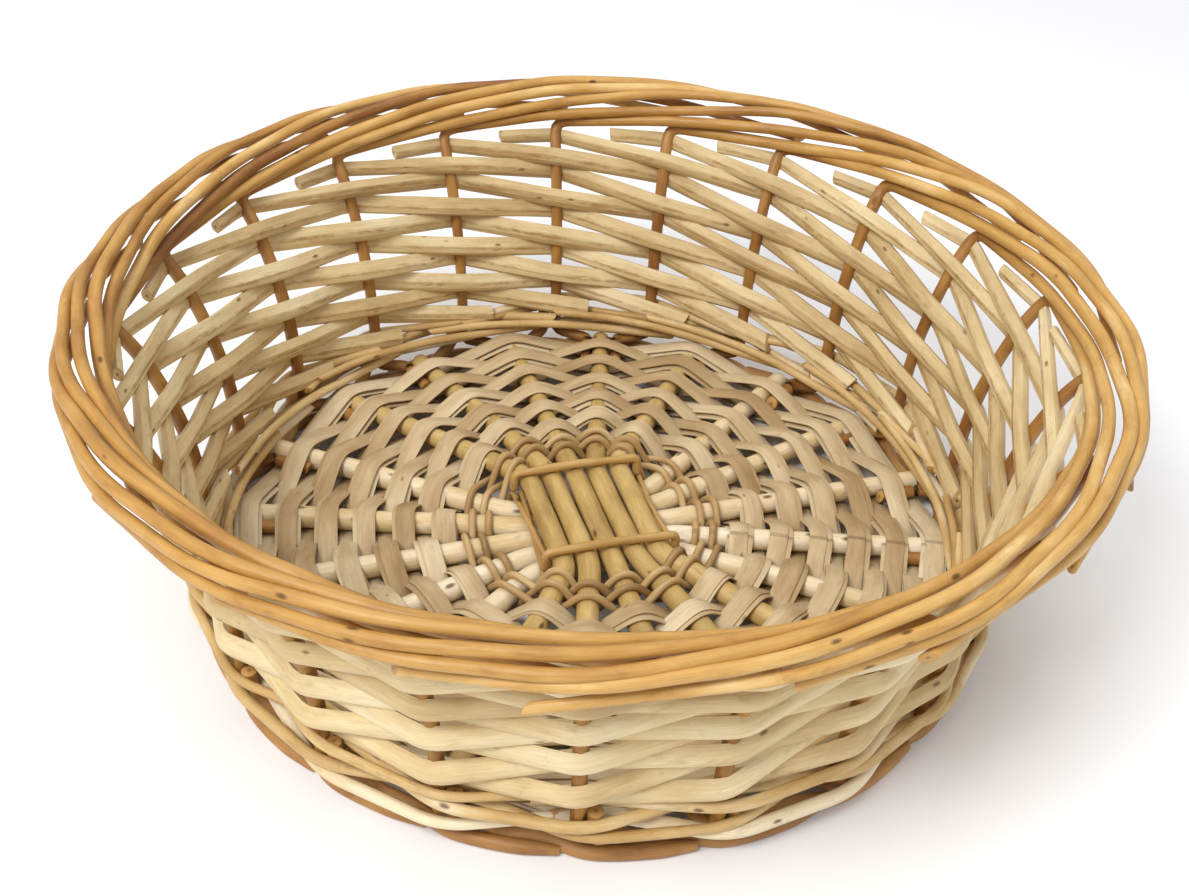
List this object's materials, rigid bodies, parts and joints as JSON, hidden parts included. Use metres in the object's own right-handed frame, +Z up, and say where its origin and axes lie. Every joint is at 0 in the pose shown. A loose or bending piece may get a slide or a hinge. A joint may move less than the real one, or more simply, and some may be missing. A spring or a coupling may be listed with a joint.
{
  "type": "woven wicker basket",
  "caption": "Round open willow basket with a flared wall of split white rods, a rolled border of buff rods, a stick-and-splint base and a plaited foot.",
  "frame": {"origin": "on the ground, at the middle of the foot ring", "axes": "+Z up through the open mouth, -Y to the front"},
  "size_m": [0.3911, 0.391, 0.13],
  "materials": {
    "buff_willow": "satin",
    "white_willow": "satin",
    "peeled_stick": "satin",
    "flat_splint": "matte",
    "foot_willow": "satin"
  },
  "bodies": {
    "root": {"base_pairing": "buff_willow", "base_splint_1": "flat_splint", "base_splint_2": "flat_splint", "base_stick_over_1": "peeled_stick", "base_stick_over_2": "peeled_stick", "base_stick_over_3": "peeled_stick", "base_stick_over_4": "peeled_stick", "base_stick_over_5": "peeled_stick", "base_stick_under_1": "peeled_stick", "base_stick_under_2": "peeled_stick", "base_stick_under_3": "peeled_stick", "base_stick_under_4": "peeled_stick", "base_stick_under_5": "peeled_stick", "foot_trac": "foot_willow", "side_stake_01": "buff_willow", "side_stake_02": "buff_willow", "side_stake_03": "buff_willow", "side_stake_04": "buff_willow", "side_stake_05": "buff_willow", "side_stake_06": "buff_willow", "side_stake_07": "buff_willow", "side_stake_08": "buff_willow", "side_stake_09": "buff_willow", "side_stake_10": "buff_willow", "side_stake_11": "buff_willow", "side_stake_12": "buff_willow", "side_stake_13": "buff_willow", "side_stake_14": "buff_willow", "side_stake_15": "buff_willow", "side_stake_16": "buff_willow", "side_stake_17": "buff_willow", "side_stake_18": "buff_willow", "side_stake_19": "buff_willow", "side_stake_20": "buff_willow", "side_stake_21": "buff_willow", "slath_lashing": "buff_willow", "upsett_wale_1": "buff_willow", "upsett_wale_2": "buff_willow", "upsett_wale_3": "buff_willow", "wall_weaver_01": "white_willow", "wall_weaver_02": "white_willow", "wall_weaver_03": "white_willow", "wall_weaver_04": "white_willow", "wall_weaver_05": "white_willow", "wall_weaver_06": "white_willow", "wall_weaver_07": "white_willow", "wall_weaver_08": "white_willow", "wall_weaver_09": "white_willow", "wall_weaver_10": "white_willow", "wall_weaver_11": "white_willow", "wall_weaver_12": "white_willow", "wall_weaver_13": "white_willow", "wall_weaver_14": "white_willow", "wall_weaver_15": "white_willow", "wall_weaver_16": "white_willow", "wall_weaver_17": "white_willow", "wall_weaver_18": "white_willow", "wall_weaver_19": "white_willow", "wall_weaver_20": "white_willow", "wall_weaver_21": "white_willow"}
  },
  "joints": []
}
